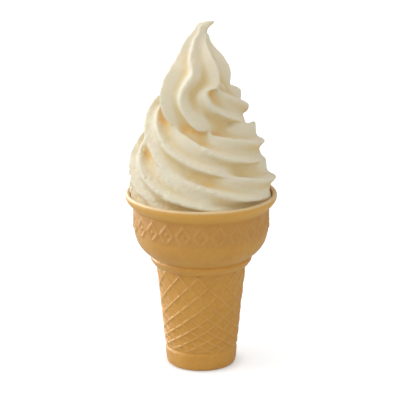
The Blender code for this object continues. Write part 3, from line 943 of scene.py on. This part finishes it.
def cream_material(mottle, grain):
    """Soft serve: pale cream that drifts between two tones, painted golden shade in the folds
    between turns and ridges, painted orange shade where they are deepest and a painted highlight on
    the crests, with a fine icy grain that is coarser where the rope has dragged."""
    result, tree, shader = new_material(
        "soft_serve_cream",
        Subsurface_Weight=0.25,
        Subsurface_Radius=(0.0036, 0.0022, 0.0009),
        Specular_IOR_Level=0.18,
        Subsurface_Scale=1.0,
    )
    tone = use_group(tree, mottle, Broad_Scale=90.0, Fine_Scale=700.0).outputs["Mask"]
    icy = use_group(tree, grain, Lump_Scale=900.0, Grain_Scale=2600.0, Pit_Scale=1600.0, Pits=0.35)
    colour = tinted(tree, mixed(tree, tone, *CREAM_PALE), CREAM_TINTS_AND_PAINTED_SHADE)
    tree.links.new(colour, shader.inputs["Base Color"])
    tree.links.new(spread(tree, tone, 0.0, 1.0, 0.72, 0.60), shader.inputs["Roughness"])
    coarse = math_node(tree, "ADD", math_node(tree, "MULTIPLY", kept(tree, "rough"), 0.8), 0.5)
    height = math_node(tree, "MULTIPLY", icy.outputs["Height"], coarse)
    raise_surface(tree, shader, height, 0.85, 0.00060)
    return result


# ---------------------------------------------------------------- stage, light and camera
def make_stage():
    """A pale seamless floor, wide enough for every view, with a little light of its own that only
    the camera sees. That light grows with the distance from the foot, so that the floor stays white
    away from it and is dimmer round the foot, which paints part of a faint contact shadow."""
    low = cad_low.z - FLOOR_BELOW_FOOT
    corners = ((-1, -1), (1, -1), (1, 1), (-1, 1))
    points = np.array([(FLOOR_SIDE * x, FLOOR_SIDE * y, low) for x, y in corners])
    floor = new_piece("studio_floor", points, [(0, 1, 2, 3)])
    finish, tree, shader = new_material("studio_white", Roughness=0.9)
    shader.inputs["Base Color"].default_value = FLOOR_COLOUR
    shader.inputs["Specular IOR Level"].default_value = 0.0
    shader.inputs["Emission Color"].default_value = (1, 1, 1, 1)
    seen = tree.nodes.new("ShaderNodeLightPath").outputs["Is Camera Ray"]
    place = tree.nodes.new("ShaderNodeTexCoord").outputs["Object"]
    length = tree.nodes.new("ShaderNodeVectorMath")
    length.operation = "LENGTH"
    tree.links.new(place, length.inputs[0])
    reach = FLOOR_GLOW_REACH * FOOT_REST_RADIUS
    # Painted shadow: the glow is weaker near the foot, which darkens the floor round it.
    glow_painting_contact_shadow = spread(tree, length.outputs["Value"], FOOT_REST_RADIUS, reach, *FLOOR_GLOW)
    tree.links.new(math_node(tree, "MULTIPLY", seen, glow_painting_contact_shadow), shader.inputs["Emission Strength"])
    floor.data.materials.append(finish)


def far_light(name, towards, strength, softness, colour):
    """A broad, soft, distant light that shines from a direction."""
    light = bpy.data.lights.new(name, "SUN")
    light.energy = strength
    light.color = colour
    light.angle = math.radians(softness)
    obj = bpy.data.objects.new(name, light)
    bpy.context.scene.collection.objects.link(obj)
    obj.rotation_euler = (-Vector(towards)).to_track_quat("-Z", "Y").to_euler()
    return obj


def make_light():
    """A key from the left, a softer light from above, warm light returned from the right, a gloss
    along the left edges that adds to the shine alone, and a white surround."""
    for light in LIGHTS:
        far_light(*light)
    gloss = far_light(*GLOSS_LIGHT)
    gloss.visible_diffuse = False
    world = bpy.data.worlds.new("studio_air")
    bpy.context.scene.world = world
    world.use_nodes = True
    tree = world.node_tree
    sky = tree.nodes["Background"]
    sky.inputs["Color"].default_value = (1, 1, 1, 1)
    seen = tree.nodes.new("ShaderNodeLightPath").outputs["Is Camera Ray"]
    tree.links.new(spread(tree, seen, 0.0, 1.0, AIR_LIGHT, AIR_SEEN), sky.inputs["Strength"])


def make_camera():
    """Nearly sixteen degrees above the level of the cone's middle, from far enough for a slight
    foreshortening."""
    aim = Vector((0, 0, cad_low.z + CAMERA_AIM * (cad_high.z - cad_low.z)))
    data = bpy.data.cameras.new("camera")
    camera = bpy.data.objects.new("camera", data)
    bpy.context.scene.collection.objects.link(camera)
    back = Vector((0, -math.cos(CAMERA_ABOVE), math.sin(CAMERA_ABOVE)))
    camera.location = aim + CAMERA_AWAY * back
    camera.rotation_euler = (math.pi / 2 - CAMERA_ABOVE, 0, 0)
    data.sensor_width = 36
    data.lens = CAMERA_LENS
    data.shift_x, data.shift_y = CAMERA_SHIFT
    data.clip_start = 0.05
    data.clip_end = 50
    bpy.context.scene.camera = camera
    bpy.context.scene.view_settings.view_transform = "Standard"


def main():
    """The two pieces in place of their solids, then the floor, lights and camera."""
    mottle, grain = make_mottle(), make_grain()
    cup = make_cup()
    cup.data.materials.append(wafer_material(mottle, grain))
    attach(cup, "root")
    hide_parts("wafer_cup")
    cream = make_cream()
    cream.data.materials.clear()
    cream.data.materials.append(cream_material(mottle, grain))
    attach(cream, "root")
    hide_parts("soft_serve")
    make_stage()
    make_light()
    make_camera()


main()
